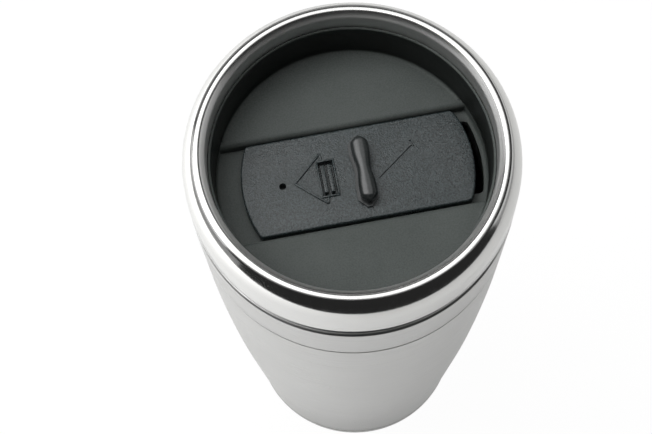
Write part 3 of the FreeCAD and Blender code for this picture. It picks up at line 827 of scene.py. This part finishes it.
def makeTab():
    v = tabValues
    top = tabHigh.z
    base = sliderTop + v["seatGap"]
    reach = v["length"] / 2
    places = [-reach + 2 * reach * i / v["slices"] for i in range(v["slices"] + 1)]
    rightSide = [(tabX + tabHalf(y, reach, v["footTip"], True), y) for y in places]
    leftSide = [(tabX - tabHalf(y, reach, v["footTip"], True), y) for y in reversed(places)]
    foot = slab(rightSide + leftSide, base, base + v["foot"])
    whole = combined(meshOf(foot), meshOf(tabDome(base + v["bodyFrom"], top)), "UNION")
    low = tabLow.z
    for half, height in ((v["stem"], base + v["stemUp"]), (v["barb"], low + v["barbHeight"])):
        y = v["stemLength"] / 2
        stem = slab(rectangle((tabX - half, -y), (tabX + half, y)), low, height)
        whole = combined(whole, meshOf(stem), "UNION")
    placed("tabBar", whole, tabPlastic, "slider", "thumb_tab", sharp=40)


# slices across the tab, each a squarish half circle, bridged and closed at both ends
def tabDome(low, top):
    v = tabValues
    reach = v["length"] / 2 - v["bodyInset"]
    centre = tabX + v["lean"]
    bm = bmesh.new()
    loops = []
    for i in range(v["slices"] + 1):
        y = -reach + 2 * reach * i / v["slices"]
        half = tabHalf(y, reach, v["bodyTip"] + v["step"], False) - v["step"]
        ends = max(0, 1 - (reach - abs(y)) / v["endReach"])
        height = (top - low) * (1 - v["endDrop"] * ends * ends)
        ring = [bm.verts.new(((centre + half) * mm, y * mm, low * mm))]
        for j in range(v["around"] + 1):
            turn = math.pi * j / v["around"]
            across = math.copysign(abs(math.cos(turn)) ** v["square"], math.cos(turn))
            rise = v["side"] + (1 - v["side"]) * math.sin(turn) ** v["square"]
            ring.append(bm.verts.new(((centre + half * across) * mm, y * mm,
                                      (low + height * rise) * mm)))
        ring.append(bm.verts.new(((centre - half) * mm, y * mm, low * mm)))
        loops.append([bm.edges.new(pair) for pair in zip(ring, ring[1:] + ring[:1])])
    for first, second in zip(loops, loops[1:]):
        bmesh.ops.bridge_loops(bm, edges=first + second)
    for loop in (loops[0], loops[-1]):
        bmesh.ops.contextual_create(bm, geom=loop)
    bmesh.ops.recalc_face_normals(bm, faces=bm.faces)
    return bm


makeSlider()
makeTab()

hiddenLooks = {
    "insulation_sleeve": foamFill, "slot_seal": sealSilicone, "vent_seal": sealSilicone,
    "slider_retainer": sliderPlastic,
}
for node, material in hiddenLooks.items():
    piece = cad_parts[node]
    for entry in piece.material_slots:
        entry.material = material
print("slider made")


# floor, light and camera

stageValues = {
    "tableHalf": 1500.0, "tableNearEdge": -400.0, "boxHeight": 1170.0,
    "boxLow": (-1350.0, 40.0), "boxHigh": (-15.0, 640.0), "boxGlow": 2.9,
    "haloLow": (-1500.0, -240.0), "haloHigh": (520.0, 900.0), "haloGlow": 1.15,
    "ceilingLow": (-1500.0, -520.0), "ceilingHigh": (900.0, 1300.0), "ceilingGlow": 0.22,
    "wallGlow": 0.30, "bandGlow": 0.8, "bandGlowRight": 0.62, "roomGlow": 0.022,
    "tableGlow": 0.37, "tableGlowLeft": 1.3, "shownGlow": 0.97, "backdropGlow": 0.93,
}


def stageBlock(name, low, high, bottom, top):
    item = bpy.data.objects.new(name, meshOf(slab(rectangle(low, high), bottom, top), name))
    bpy.context.scene.collection.objects.link(item)
    return item


def glowing(name, colour, strength):
    material = bpy.data.materials.new(name)
    material.use_nodes = True
    tree = material.node_tree
    tree.nodes.remove(tree.nodes["Principled BSDF"])
    glow = addNode(tree, "ShaderNodeEmission")
    glow.inputs["Color"].default_value = (*colour, 1)
    glow.inputs["Strength"].default_value = strength
    tree.links.new(glow.outputs[0], tree.nodes["Material Output"].inputs["Surface"])
    return material


# light panel that faces straight down
def lightPanel(name, low, high, height, glow):
    data = bpy.data.lights.new(name, "AREA")
    data.shape = "RECTANGLE"
    data.size = (high[0] - low[0]) * mm
    data.size_y = (high[1] - low[1]) * mm
    data.energy = glow * math.pi * data.size * data.size_y
    item = bpy.data.objects.new(name, data)
    item.location = ((low[0] + high[0]) / 2 * mm, (low[1] + high[1]) / 2 * mm, height * mm)
    bpy.context.scene.collection.objects.link(item)


# the table seen by the camera is plain white; a table below it, with painted light that glows
# brighter to the left, is what the steel mirrors
def makeStage():
    v = stageValues
    half = v["tableHalf"]
    shown = stageBlock("tableShown", (-half, -half), (half, half), -4.05, -0.05)
    paper, tree, shader = newMaterial("paper")
    shader.inputs["Base Color"].default_value = (0.05, 0.05, 0.05, 1)
    shader.inputs["Roughness"].default_value = 1.0
    shader.inputs["Specular IOR Level"].default_value = 0.0
    shader.inputs["Emission Color"].default_value = (1, 1, 1, 1)
    shader.inputs["Emission Strength"].default_value = v["shownGlow"]
    shown.data.materials.append(paper)
    shown.visible_glossy = False
    shown.visible_diffuse = False
    shown.visible_shadow = False
    lit = stageBlock("tableLit", (-half, v["tableNearEdge"]), (half, half), -4.3, -0.3)
    paintedTableLight, tree, shader = newMaterial("tableWithPaintedLight")
    shader.inputs["Base Color"].default_value = (0.55, 0.55, 0.545, 1)
    shader.inputs["Roughness"].default_value = 0.9
    shader.inputs["Emission Color"].default_value = (1, 1, 0.99, 1)
    # painted light: the hidden table's glow runs from bright on the left to dim on the right,
    # standing in for light falling on it
    parts = addNode(tree, "ShaderNodeSeparateXYZ")
    tree.links.new(scaledCoordinates(tree, (1, 1, 1)), parts.inputs[0])
    tree.links.new(ranged(tree, parts.outputs["X"], v["tableGlowLeft"], v["tableGlow"],
                          -0.6, 0.0), shader.inputs["Emission Strength"])
    lit.data.materials.append(paintedTableLight)
    lit.visible_camera = False
    for name, low, high, bottom, top, glow in (
            ("wallLeft", (-1510, -600), (-1500, 1500), 0, 480, v["wallGlow"]),
            ("bandLeft", (-1510, -300), (-1500, 1300), 480, 1180, v["bandGlow"]),
            ("wallRight", (1500, -600), (1510, 1500), 0, 250, v["wallGlow"]),
            ("bandRight", (1500, -600), (1510, 1500), 250, 900, v["bandGlowRight"]),
            ("wallFar", (-1500, 1500), (1500, 1510), 0, 900, v["wallGlow"])):
        wall = stageBlock(name, low, high, bottom, top)
        wall.data.materials.append(glowing(name, (1, 1, 1), glow))
        wall.visible_camera = False
    backdrop = bmesh.new()
    bmesh.ops.create_uvsphere(backdrop, u_segments=48, v_segments=24, radius=6.0)
    dome = bpy.data.objects.new("backdrop", meshOf(backdrop, "backdrop"))
    bpy.context.scene.collection.objects.link(dome)
    dome.data.materials.append(glowing("backdropPaper", (1, 1, 1), v["backdropGlow"]))
    dome.visible_glossy = False
    dome.visible_diffuse = False
    dome.visible_shadow = False
    world = bpy.data.worlds.new("room")
    bpy.context.scene.world = world
    world.use_nodes = True
    world.node_tree.nodes["Background"].inputs["Color"].default_value = (1, 1, 1, 1)
    world.node_tree.nodes["Background"].inputs["Strength"].default_value = v["roomGlow"]
    lightPanel("softBox", v["boxLow"], v["boxHigh"], v["boxHeight"], v["boxGlow"])
    lightPanel("halo", v["haloLow"], v["haloHigh"], v["boxHeight"] + 30, v["haloGlow"])
    lightPanel("ceiling", v["ceilingLow"], v["ceilingHigh"], v["boxHeight"] + 60, v["ceilingGlow"])


cameraValues = {
    "place": (-26.1, -147.05, 534.4), "heading": 8.07, "tilt": 69.93, "roll": -2.71,
    "lens": 88.34, "shift": (-0.0117, -0.0009),
}


def makeCamera():
    v = cameraValues
    data = bpy.data.cameras.new("camera")
    data.lens = v["lens"]
    data.sensor_width = 36.0
    data.shift_x, data.shift_y = v["shift"]
    data.clip_start = 0.01
    item = bpy.data.objects.new("camera", data)
    turn = (Matrix.Rotation(math.radians(-v["heading"]), 4, "Z")
            @ Matrix.Rotation(math.radians(90 - v["tilt"]), 4, "X")
            @ Matrix.Rotation(math.radians(v["roll"]), 4, "Z"))
    item.matrix_world = Matrix.Translation(Vector(v["place"]) * mm) @ turn
    bpy.context.scene.collection.objects.link(item)
    bpy.context.scene.camera = item


makeStage()
makeCamera()
bpy.context.scene.view_settings.view_transform = "Standard"
print("stage and camera ready")
